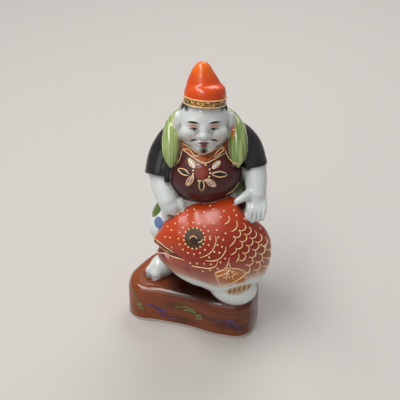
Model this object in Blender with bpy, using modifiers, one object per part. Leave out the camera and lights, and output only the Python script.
"""A seated lucky god with a sea bream across the lap, on a rock, cast in porcelain as one piece.

The casting is one solid. Its forms are lofts, limbs and balls that overlap. They run together
under one skin, the way slip-cast porcelain does, and are cut off flat under the rock, where a
small vent goes into the hollow of the real casting.
"""

import math

import bmesh
import bpy
from mathutils import Euler, Matrix, Vector

MM = 0.001

# Driving sizes, in metres.
ROCK_HEIGHT = 22 * MM
ROCK_WIDTH = 74 * MM
ROCK_DEPTH = 64 * MM
ROCK_EDGE_RADIUS = 5 * MM
MAN_HEIGHT = 128 * MM  # from the top of the rock to the tip of the hat
MAN_RIGHT_OF_MIDDLE = 5.3 * MM
FISH_LENGTH = 0.5 * MAN_HEIGHT  # from the mouth to the bend before the tail
FISH_RIGHT_OF_MIDDLE = MAN_RIGHT_OF_MIDDLE + 0.039 * MAN_HEIGHT
FISH_BEFORE_MIDDLE = 0.16 * MAN_HEIGHT
FISH_ABOVE_ROCK = 0.215 * MAN_HEIGHT
VENT_DIAMETER = 7 * MM
VENT_DEPTH = 5 * MM
VENT_BEHIND_MIDDLE = 10 * MM
SKIN_DETAIL = 1.0 * MM  # the finest detail that the glazed skin carries
UNDERCUT = 4 * MM  # how far the rock's forms run on below the cut
TRIANGLES = 9700
RING_POINTS = 28

# The man's forms are given in parts of his height: 128 parts tall, measured from the rock's top
# in the plane that halves him. The fish's are given in parts of its length, 64 parts long.
PART = MAN_HEIGHT / 128
FISH_PART = FISH_LENGTH / 64
MAN_PLACE = Vector((MAN_RIGHT_OF_MIDDLE, 0, ROCK_HEIGHT))
FISH_PLACE = Vector((FISH_RIGHT_OF_MIDDLE, -FISH_BEFORE_MIDDLE, ROCK_HEIGHT + FISH_ABOVE_ROCK))
FISH_LEAN = math.radians(18)


def smooth_between(stations, steps=6):
    """Rows of numbers on a smooth line through the stations, each a row of numbers itself."""
    rows = []
    for index in range(len(stations) - 1):
        before = stations[max(index - 1, 0)]
        here = stations[index]
        there = stations[index + 1]
        after = stations[min(index + 2, len(stations) - 1)]
        for step in range(steps):
            t = step / steps
            rows.append([
                0.5 * (2 * b + (c - a) * t + (2 * a - 5 * b + 4 * c - d) * t ** 2
                       + (3 * b - a - 3 * c + d) * t ** 3)
                for a, b, c, d in zip(before, here, there, after)
            ])
    rows.append(list(stations[-1]))
    return rows


def finished(name, bm, matrix, guides):
    """Turn the bmesh into a guide object, placed by its matrix."""
    bmesh.ops.recalc_face_normals(bm, faces=bm.faces)
    bmesh.ops.transform(bm, matrix=matrix, verts=bm.verts)
    mesh = bpy.data.meshes.new(name)
    bm.to_mesh(mesh)
    bm.free()
    guide = bpy.data.objects.new(name, mesh)
    guide.hide_render = True
    guide.display_type = "WIRE"
    guides.objects.link(guide)
    return guide


def loft(name, rings, matrix, guides):
    """A closed body through oval rings, each a centre and its two half axes."""
    bm = bmesh.new()
    loops = []
    for centre, across, along in rings:
        loop = []
        for index in range(RING_POINTS):
            angle = 2 * math.pi * index / RING_POINTS
            loop.append(bm.verts.new(centre + across * math.cos(angle) + along * math.sin(angle)))
        loops.append(loop)
    for lower, upper in zip(loops, loops[1:]):
        for index in range(RING_POINTS):
            after = (index + 1) % RING_POINTS
            bm.faces.new((lower[index], lower[after], upper[after], upper[index]))
    bm.faces.new(list(reversed(loops[0])))
    bm.faces.new(loops[-1])
    return finished(name, bm, matrix, guides)


def upright_loft(name, sections, matrix, guides):
    """A loft through level ovals: height, centre x, centre y, half width, half depth."""
    rings = []
    for height, x, y, half_width, half_depth in smooth_between(sections):
        rings.append((Vector((x, y, height)), Vector((half_width, 0, 0)), Vector((0, half_depth, 0))))
    return loft(name, rings, matrix, guides)


def ball(name, centre, half_sizes, turn_degrees, matrix, guides):
    """An egg shape: a sphere stretched to its half sizes, turned, and moved to its centre."""
    bm = bmesh.new()
    bmesh.ops.create_uvsphere(bm, u_segments=24, v_segments=16, radius=1)
    turn = Euler([math.radians(angle) for angle in turn_degrees]).to_matrix().to_4x4()
    stretch = Matrix.Diagonal((*half_sizes, 1))
    bmesh.ops.transform(bm, matrix=Matrix.Translation(centre) @ turn @ stretch, verts=bm.verts)
    return finished(name, bm, matrix, guides)


def limb(name, points, matrix, guides):
    """A round tube with a changing radius, along a smooth curve: x, y, z, radius."""
    curve = bpy.data.curves.new(name, "CURVE")
    curve.dimensions = "3D"
    curve.bevel_depth = 1
    curve.bevel_resolution = 4
    curve.resolution_u = 6
    curve.use_fill_caps = True
    spline = curve.splines.new("BEZIER")
    spline.bezier_points.add(len(points) - 1)
    for bezier_point, (x, y, z, radius) in zip(spline.bezier_points, points):
        bezier_point.co = (x, y, z)
        bezier_point.radius = radius
        bezier_point.handle_left_type = "AUTO"
        bezier_point.handle_right_type = "AUTO"
    holder = bpy.data.objects.new(name + "_curve", curve)
    guides.objects.link(holder)
    evaluated = holder.evaluated_get(bpy.context.evaluated_depsgraph_get())
    mesh = bpy.data.meshes.new_from_object(evaluated)
    bpy.data.objects.remove(holder)
    bm = bmesh.new()
    bm.from_mesh(mesh)
    bpy.data.meshes.remove(mesh)
    bmesh.ops.remove_doubles(bm, verts=bm.verts, dist=0.001)
    x, y, z, radius = points[-1]
    bmesh.ops.create_uvsphere(
        bm, u_segments=16, v_segments=10, radius=radius, matrix=Matrix.Translation((x, y, z)))
    return finished(name, bm, matrix, guides)


def rock(man, guides):
    """The rock plate, skewed under the man, and the seat that rises from it behind."""
    half_width = ROCK_WIDTH / 2
    half_depth = ROCK_DEPTH / 2
    outline = [
        (-1.0, -0.12), (-0.93, -0.46), (-0.55, -0.60), (-0.1, -0.76), (0.38, -1.0), (0.75, -1.02),
        (0.94, -0.62), (0.97, 0.0), (0.88, 0.58), (0.5, 0.85), (-0.05, 0.9), (-0.5, 0.73),
        (-0.84, 0.3),
    ]
    curve = bpy.data.curves.new("plate_outline", "CURVE")
    curve.dimensions = "2D"
    curve.fill_mode = "BOTH"
    curve.extrude = (ROCK_HEIGHT + UNDERCUT) / 2
    curve.resolution_u = 8
    spline = curve.splines.new("BEZIER")
    spline.use_cyclic_u = True
    spline.bezier_points.add(len(outline) - 1)
    for bezier_point, (x, y) in zip(spline.bezier_points, outline):
        bezier_point.co = (x * half_width, y * half_depth, 0)
        bezier_point.handle_left_type = "AUTO"
        bezier_point.handle_right_type = "AUTO"
    holder = bpy.data.objects.new("plate_curve", curve)
    holder.location.z = (ROCK_HEIGHT - UNDERCUT) / 2
    guides.objects.link(holder)
    bpy.context.view_layer.update()
    evaluated = holder.evaluated_get(bpy.context.evaluated_depsgraph_get())
    mesh = bpy.data.meshes.new_from_object(evaluated)
    bm = bmesh.new()
    bm.from_mesh(mesh)
    bmesh.ops.transform(bm, matrix=holder.matrix_world, verts=bm.verts)
    bpy.data.objects.remove(holder)
    bpy.data.meshes.remove(mesh)
    bmesh.ops.remove_doubles(bm, verts=bm.verts, dist=0.01 * MM)
    rim = [
        edge for edge in bm.edges
        if len(edge.link_faces) == 2 and min(vert.co.z for vert in edge.verts) > ROCK_HEIGHT / 2
        and edge.calc_face_angle() > math.radians(60)
    ]
    bmesh.ops.bevel(
        bm, geom=rim, offset=ROCK_EDGE_RADIUS, segments=4, profile=0.5, affect="EDGES")
    plate = finished("rock_plate", bm, Matrix(), guides)
    seat = [
        ball("rock_seat", (1.5, 13, 6), (23.5, 15, 22), (0, 0, -8), man, guides),
        ball("rock_lump_left", (-13, 15, -2), (11.5, 12, 13), (0, 20, 0), man, guides),
        ball("rock_lump_right", (18.7, 12, 0), (10, 14, 12), (0, -15, 0), man, guides),
    ]
    return [plate, *seat]


def body(man, guides):
    """The skirt over the thighs, the robe over the belly, the coat over the back, and the foot."""
    pieces = [
        upright_loft("skirt", [
            (14, 0, 12, 21, 14), (22, 0, 10, 24, 18), (34, 0, 7, 24.5, 20), (46, 0, 4, 22.5, 19),
            (58, 0, 2, 20, 16.6),
        ], man, guides),
        upright_loft("robe", [
            (50, 0, 3, 20, 16.6), (58, 0, 2, 20.5, 17), (68, 0.3, 2, 20, 17),
            (76, 0.4, 3.5, 20, 15.5), (84, 0.3, 6, 19.5, 14), (90, 0.2, 8.5, 16, 11),
            (95, 0, 9.5, 9, 7.5),
        ], man, guides),
        upright_loft("coat", [
            (40, 0, 10, 23, 17), (50, 0, 8.5, 22, 15.2), (60, 0, 7, 21, 13.6),
            (70, 0, 7, 20.6, 13.2), (78, 0, 7.6, 20.6, 12.8), (86, 0.2, 8.6, 19.4, 12),
            (91, 0.2, 10, 15, 9.6), (95, 0, 11, 8, 6.5),
        ], man, guides),
        ball("belly", (0.3, -3.5, 67), (19.6, 17, 15.5), (-12, 0, 0), man, guides),
        limb("thigh_left", [(-9, 8, 34, 13), (-16, 2, 36, 12.5), (-19, -5, 34, 11)], man, guides),
        limb("shin_left", [(-18.4, -2.4, 32, 8.6), (-18.8, -0.6, 20, 6.8), (-19.4, 2, 12, 6)],
             man, guides),
        limb("thigh_right", [(9, 8, 36, 13), (15, 2, 46, 12.5), (18, -4, 49, 11.5)], man, guides),
        limb("shin_right", [(18, -4, 46, 10), (17, -8, 30, 8.5), (12, -8, 12, 8)], man, guides),
        ball("coat_side", (16, 4, 60), (9.5, 11, 14), (0, 0, 0), man, guides),
        ball("foot", (-22.6, -0.6, 4.8), (6.4, 9.4, 6.2), (0, 0, -46), man, guides),
        ball("great_toe", (-29.2, -4, 3.2), (2.7, 4, 3.6), (0, 0, -56), man, guides),
        ball("toes", (-26.2, -6.4, 3), (3.4, 4.2, 3.5), (0, 0, -38), man, guides),
        limb("ankle", [(-19.4, 2, 14, 5.4), (-20.4, 1, 6, 5.4)], man, guides),
    ]
    for fold, x in enumerate((-11, -4, 4, 11)):
        pieces.append(limb(
            f"back_fold_{fold}",
            [(0.6 * x, 19.6, 84, 0.9), (0.9 * x, 19.8 - 0.03 * x * x, 62, 1.9),
             (1.2 * x, 26 - 0.03 * x * x, 41, 2.6)],
            man, guides))
    return pieces


def sleeve(name, rings, man, guides):
    """A wide short sleeve, each ring given as its centre, outward half and forward half."""
    stations = [[*centre, *outward, *forward] for centre, outward, forward in rings]
    return loft(name, [
        (Vector(row[0:3]), Vector(row[3:6]), Vector(row[6:9]))
        for row in smooth_between(stations)
    ], man, guides)


def sleeves_and_arms(man, guides):
    """Wide short sleeves with soft folds, bare forearms, and the two hands that hold the fish."""
    pieces = [
        sleeve("sleeve_left", [
            ((-5, 8, 83), (-1, 0, 9), (0, -9, 1)), ((-12.6, 7.5, 83), (-5.8, 2, 7.6), (0, -9.4, 2)),
            ((-20, 4, 76), (-7.8, 3.2, 3.2), (0.5, -8.4, 4)),
            ((-23.6, -2.6, 65.6), (-7.2, 4.4, -1.6), (0, -6.4, 3)),
        ], man, guides),
        limb("sleeve_left_fold", [(-14, -3.2, 83, 1), (-18.6, -6, 75, 1.8), (-20, -9.6, 66.6, 1.4)],
             man, guides),
        sleeve("sleeve_right", [
            ((5, 8, 84), (1, 0, 9), (0, -9, 1)), ((12.6, 7.5, 84), (5.8, 2, 7.6), (0, -9.4, 2)),
            ((21, 4, 80), (7.6, 3.4, 3.4), (-0.5, -8.4, 4)),
            ((25.8, -2.6, 72.4), (6.4, 4.4, -0.4), (0, -6, 2)),
        ], man, guides),
        limb("sleeve_right_fold", [(16, -3, 86, 1), (21.4, -5.4, 80, 1.8), (23, -8.4, 73.4, 1.4)],
             man, guides),
        limb("forearm_left", [(-23.2, 0, 66, 7), (-21.6, -6.4, 59.4, 6.4),
                              (-19.4, -11.4, 54.6, 5.6)], man, guides),
        ball("hand_left", (-18, -13, 51.6), (5.6, 4.8, 5.2), (20, 0, 0), man, guides),
        limb("finger_left_0", [(-14, -12, 55, 2.4), (-12.4, -13.6, 53.4, 2), (-12, -14.4, 51.6, 1.8)],
             man, guides),
        limb("finger_left_1", [(-17.6, -13.8, 53, 2.4), (-17.2, -15.8, 50.6, 2),
                               (-16.8, -16, 48.4, 1.7)], man, guides),
        limb("finger_left_2", [(-21, -12.8, 52.4, 2.3), (-21, -14.6, 49.4, 2),
                               (-20.6, -15, 46.6, 1.8)], man, guides),
        limb("forearm_right", [(26.6, -1, 72, 6.8), (27.6, -8, 64.5, 6), (27.8, -12.4, 59.4, 5.4)],
             man, guides),
        ball("hand_right", (27.6, -13.6, 57), (5.8, 5.2, 4.6), (30, 0, 0), man, guides),
        limb("thumb_right", [(26, -12.5, 61.4, 3.2), (21.4, -16.2, 60.2, 2.4),
                             (17.2, -18.6, 58.6, 1.8)], man, guides),
    ]
    finger_pitch = 2.75
    finger_radius = 1.6
    for finger in range(4):
        x = 23.3 + finger_pitch * finger
        droop = 0.8 * abs(finger - 1.4)
        pieces.append(limb(
            f"finger_right_{finger}",
            [(x + 0.4, -15, 57.6, finger_radius), (x, -19.6, 54 - droop / 2, finger_radius),
             (x - 0.8, -21.8, 48.6 + droop, 0.85 * finger_radius)],
            man, guides))
    return pieces


def stole(man, guides):
    """The green collar: a roll behind the neck that runs flat down the chest on both sides."""
    flatness = 0.62
    flat = man @ Matrix.Diagonal((1, flatness, 1, 1))
    path = [
        (0, 17.5, 92, 4.6), (9, 15, 93, 4.6), (15.2, 8, 91.5, 4.8), (17.6, -1.5, 87.5, 4.8),
        (17.9, -7, 82.4, 4.5), (17.7, -10.2, 78.6, 3.1), (17.5, -11.4, 76, 1.3),
    ]
    return [
        limb(f"stole_{side}", [(side * x, y / flatness, z, radius) for x, y, z, radius in path],
             flat, guides)
        for side in (-1, 1)
    ]


def head(man, guides):
    """A smiling head of plain proportions: full cheeks, short nose, long ears, hair at the back."""
    crown = 111
    chin = 82.6
    x = -0.3
    nose = chin + 0.40 * (crown - chin)
    mouth = chin + 0.26 * (crown - chin)
    pieces = [
        ball("skull", (x, 2.5, 97.5), (13.2, 13.2, 13.5), (0, 0, 0), man, guides),
        ball("jaw", (x, -0.2, 91.4), (13.6, 11.2, 8.8), (0, 0, 0), man, guides),
        ball("chin", (x, -6.6, chin + 4), (6.6, 5, 4.6), (0, 0, 0), man, guides),
        limb("nose_bridge", [(x, -8.4, nose + 7, 1.6), (x, -10.2, nose + 3.4, 2)], man, guides),
        ball("nose", (x, -11.4, nose + 0.6), (2.5, 2.6, 2.3), (0, 0, 0), man, guides),
        ball("mouth", (x, -8, mouth + 0.4), (6.6, 4.4, 3.8), (0, 0, 0), man, guides),
        ball("lip", (x, -11.7, mouth - 1.1), (2.6, 1.2, 0.9), (20, 0, 0), man, guides),
        limb("neck", [(0, 5, 78, 9.5), (0, 4, 88, 9)], man, guides),
        ball("hair", (x, 5.6, 98.6), (13.1, 12.2, 12.4), (0, 0, 0), man, guides),
    ]
    for side in (-1, 1):
        pieces += [
            ball(f"cheek_{side}", (x + side * 6.9, -5.4, nose - 0.6), (5.6, 5.2, 4.8), (0, 0, 0),
                 man, guides),
            ball(f"nostril_{side}", (x + side * 2.3, -10.6, nose), (1.4, 1.6, 1.3), (0, 0, 0),
                 man, guides),
            ball(f"eyelid_{side}", (x + side * 5.2, -8.2, nose + 4.6), (2.8, 2, 1.7), (0, 0, 0),
                 man, guides),
            limb(f"brow_{side}", [
                (x + side * 2.4, -9, nose + 6.6, 1), (x + side * 5.4, -8.6, nose + 7.6, 1.1),
                (x + side * 8.6, -6.4, nose + 6.4, 0.8),
            ], man, guides),
            ball(f"ear_{side}", (side * 13.8, 2.6, 95), (2.3, 3.8, 6.2), (0, side * 6, 0),
                 man, guides),
            ball(f"ear_lobe_{side}", (side * 14.2, 1.2, 89.6), (2.1, 2.4, 2.8), (0, 0, 0),
                 man, guides),
            ball(f"sideburn_{side}", (side * 10.8, 1.4, 104.2), (1.2, 2, 2.4),
                 (0, -side * 8, side * 20), man, guides),
        ]
    return pieces


def hat(man, guides):
    """The soft cap, leaning back: a padded foot, the peak that rises out of it, and its band."""
    lean = Matrix.Rotation(math.radians(-14), 4, "X") @ Matrix.Rotation(math.radians(3.5), 4, "Y")
    place = man @ Matrix.Translation((0.2, 3.4, 108.2)) @ lean
    return [
        upright_loft("cap_foot", [
            (-1.4, 0, 0, 10.6, 11.3), (1.4, 0, 0, 11, 11.7), (3.2, 0, 0, 11.1, 11.7),
            (5.6, 0.1, -0.2, 10.6, 11.1), (7.6, 0.5, -0.4, 9.1, 9.6), (8.9, 0.7, -0.4, 6.3, 6.8),
            (9.4, 0.7, -0.4, 3, 3.4),
        ], place, guides),
        upright_loft("cap_peak", [
            (1, -0.9, 1.2, 9.4, 9.2), (5, -1, 1.2, 9.4, 9.1), (9, -1.1, 1.1, 8.7, 8.4),
            (12, -1.6, 0.9, 7.1, 6.8), (15, -2, 0.6, 5.6, 5.3), (17.8, -2.1, 0.3, 4, 3.8),
            (19.6, -2.1, 0.2, 2.4, 2.3), (20.5, -2.1, 0.1, 0.8, 0.8),
        ], place, guides),
        upright_loft("band", [
            (-1.8, 0, 0, 10.8, 11.5), (-1.4, 0, 0, 11.3, 12), (1.4, 0, 0, 11.3, 12),
            (1.8, 0, 0, 10.8, 11.5),
        ], place, guides),
    ]


def fish_loft(name, profile, place, guides):
    """A loft along the fish: length along, top, bottom, half thickness."""
    rings = []
    for along, top, bottom, half_thickness in smooth_between(profile):
        centre = Vector((along, 0, (top + bottom) / 2))
        rings.append((centre, Vector((0, half_thickness, 0)), Vector((0, 0, (top - bottom) / 2))))
    return loft(name, rings, place, guides)


def fish(place, guides):
    """The bream: body, lower jaw, belly fold, fins, and the tail that bends back past the hip."""
    pieces = [
        fish_loft("fish_body", [
            (-32.2, 7.6, 5.6, 1.4), (-30, 10.8, 3.8, 4.4), (-25.8, 17, 1, 8.4),
            (-20.6, 22.2, -3.4, 11.6), (-17, 24, -8.5, 13.2), (-13.5, 25.6, -14.4, 14.4),
            (-9.5, 28, -18, 15.4), (-4, 29, -20.8, 16.2),
            (5, 31, -24.6, 17), (12.6, 29.8, -25, 16.6), (18.6, 24.4, -22.6, 15),
            (24, 17.2, -17.6, 12), (28.4, 12.4, -11.6, 8.4), (31, 7, -3.6, 4),
        ], place, guides),
        fish_loft("fish_jaw", [
            (-30.4, 1, -1.8, 1.2), (-29, 2.4, -4, 4), (-26.4, 2.8, -6.8, 7.2),
            (-20.3, 0, -12.2, 10.6), (-15, -2, -15.8, 11.4), (-9, -5, -18.6, 10.6),
            (-3, -9, -20, 8),
        ], place, guides),
        ball("fish_cheek", (-13, 0, -4.6), (9.5, 12, 7), (0, 30, 0), place, guides),
        ball("fish_belly_fold", (10.4, 0, -19.2), (14, 9.8, 10.4), (0, 20, 0), place, guides),
        ball("pectoral_fin", (9.4, -14.4, -9.6), (8.6, 1.9, 4.4), (24, 14, 10), place, guides),
        limb("tail_stock", [(18, 2, 0, 12), (24.5, 12, -1, 8), (25, 21, -2, 5.4)], place, guides),
        ball("tail_fin_top", (24.4, 29, 4.4), (2.4, 9.6, 5.2), (34, 0, 0), place, guides),
        ball("tail_fin_low", (24.4, 28, -8), (2.4, 9.6, 5.2), (-34, 0, 0), place, guides),
        ball("tail_fin_web", (24.4, 26.5, -1.8), (2.2, 5.5, 7), (0, 0, 0), place, guides),
    ]
    for spine in range(6):
        along = -9 + 5.6 * spine
        rise = 27.6 - 0.012 * (along - 5) ** 2
        pieces.append(ball(
            f"dorsal_spine_{spine}", (along, 0, rise), (2.9, 2, 2.4), (0, 0, 0), place, guides))
    return pieces


def largest_shell(bm):
    """Delete every fleck that is apart from the largest shell."""
    waiting = set(bm.verts)
    shells = []
    while waiting:
        shell = {waiting.pop()}
        edge_of_search = list(shell)
        while edge_of_search:
            vert = edge_of_search.pop()
            for edge in vert.link_edges:
                neighbour = edge.other_vert(vert)
                if neighbour in waiting:
                    waiting.remove(neighbour)
                    shell.add(neighbour)
                    edge_of_search.append(neighbour)
        shells.append(shell)
    shells.sort(key=len)
    flecks = [vert for shell in shells[:-1] for vert in shell]
    bmesh.ops.delete(bm, geom=flecks, context="VERTS")


def fused(name, guides, collection):
    """One closed skin over all the forms, softened, thinned out and cut off flat below."""
    joined = bmesh.new()
    for guide in guides:
        joined.from_mesh(guide.data)
    mesh = bpy.data.meshes.new(name)
    joined.to_mesh(mesh)
    joined.free()
    figure = bpy.data.objects.new(name, mesh)
    collection.objects.link(figure)
    skin = figure.modifiers.new("skin", "REMESH")
    skin.mode = "VOXEL"
    skin.voxel_size = SKIN_DETAIL
    glaze = figure.modifiers.new("glaze", "SMOOTH")
    glaze.factor = 0.5
    glaze.iterations = 3
    evaluated = figure.evaluated_get(bpy.context.evaluated_depsgraph_get())
    faces = sum(len(polygon.vertices) - 2 for polygon in evaluated.data.polygons)
    thinned = figure.modifiers.new("thinned", "DECIMATE")
    thinned.ratio = TRIANGLES / faces
    evaluated = figure.evaluated_get(bpy.context.evaluated_depsgraph_get())
    settled = bpy.data.meshes.new_from_object(evaluated)
    figure.modifiers.clear()
    bm = bmesh.new()
    bm.from_mesh(settled)
    bmesh.ops.bisect_plane(
        bm, geom=[*bm.verts, *bm.edges, *bm.faces], plane_co=(0, 0, 0), plane_no=(0, 0, -1),
        clear_outer=True)
    bmesh.ops.holes_fill(bm, edges=[edge for edge in bm.edges if edge.is_boundary])
    largest_shell(bm)
    bmesh.ops.recalc_face_normals(bm, faces=bm.faces)
    bm.to_mesh(settled)
    bm.free()
    figure.data = settled
    bpy.data.meshes.remove(mesh)
    return figure


def vent_cutter(guides):
    """The cutter of the vent in the underside."""
    bm = bmesh.new()
    bmesh.ops.create_cone(
        bm, cap_ends=True, segments=24, radius1=VENT_DIAMETER / 2, radius2=VENT_DIAMETER / 2,
        depth=2 * VENT_DEPTH)
    place = Matrix.Translation((0, VENT_BEHIND_MIDDLE, 0))
    return finished("vent_cutter", bm, place, guides)


def porcelain():
    """White glazed porcelain."""
    material = bpy.data.materials.new("painted_porcelain")
    material.use_nodes = True
    shader = material.node_tree.nodes["Principled BSDF"]
    shader.inputs["Base Color"].default_value = (0.78, 0.77, 0.74, 1)
    shader.inputs["Roughness"].default_value = 0.15
    shader.inputs["Metallic"].default_value = 0
    return material


def build():
    """Clear the scene and model the figure."""
    for item in list(bpy.data.objects):
        bpy.data.objects.remove(item)
    collection = bpy.data.collections.new("ebisu_figure")
    guides = bpy.data.collections.new("guides")
    bpy.context.scene.collection.children.link(collection)
    bpy.context.scene.collection.children.link(guides)
    man = Matrix.Translation(MAN_PLACE) @ Matrix.Scale(PART, 4)
    fish_place = (Matrix.Translation(FISH_PLACE) @ Matrix.Rotation(-FISH_LEAN, 4, "X")
                  @ Matrix.Scale(FISH_PART, 4))
    forms = [
        *rock(man, guides), *body(man, guides), *sleeves_and_arms(man, guides),
        *stole(man, guides), *head(man, guides), *hat(man, guides), *fish(fish_place, guides),
    ]
    figure = fused("ebisu_figure", forms, collection)
    vent = figure.modifiers.new("vent", "BOOLEAN")
    vent.operation = "DIFFERENCE"
    vent.object = vent_cutter(guides)
    figure.data.materials.append(porcelain())
    figure.data.shade_smooth()


build()
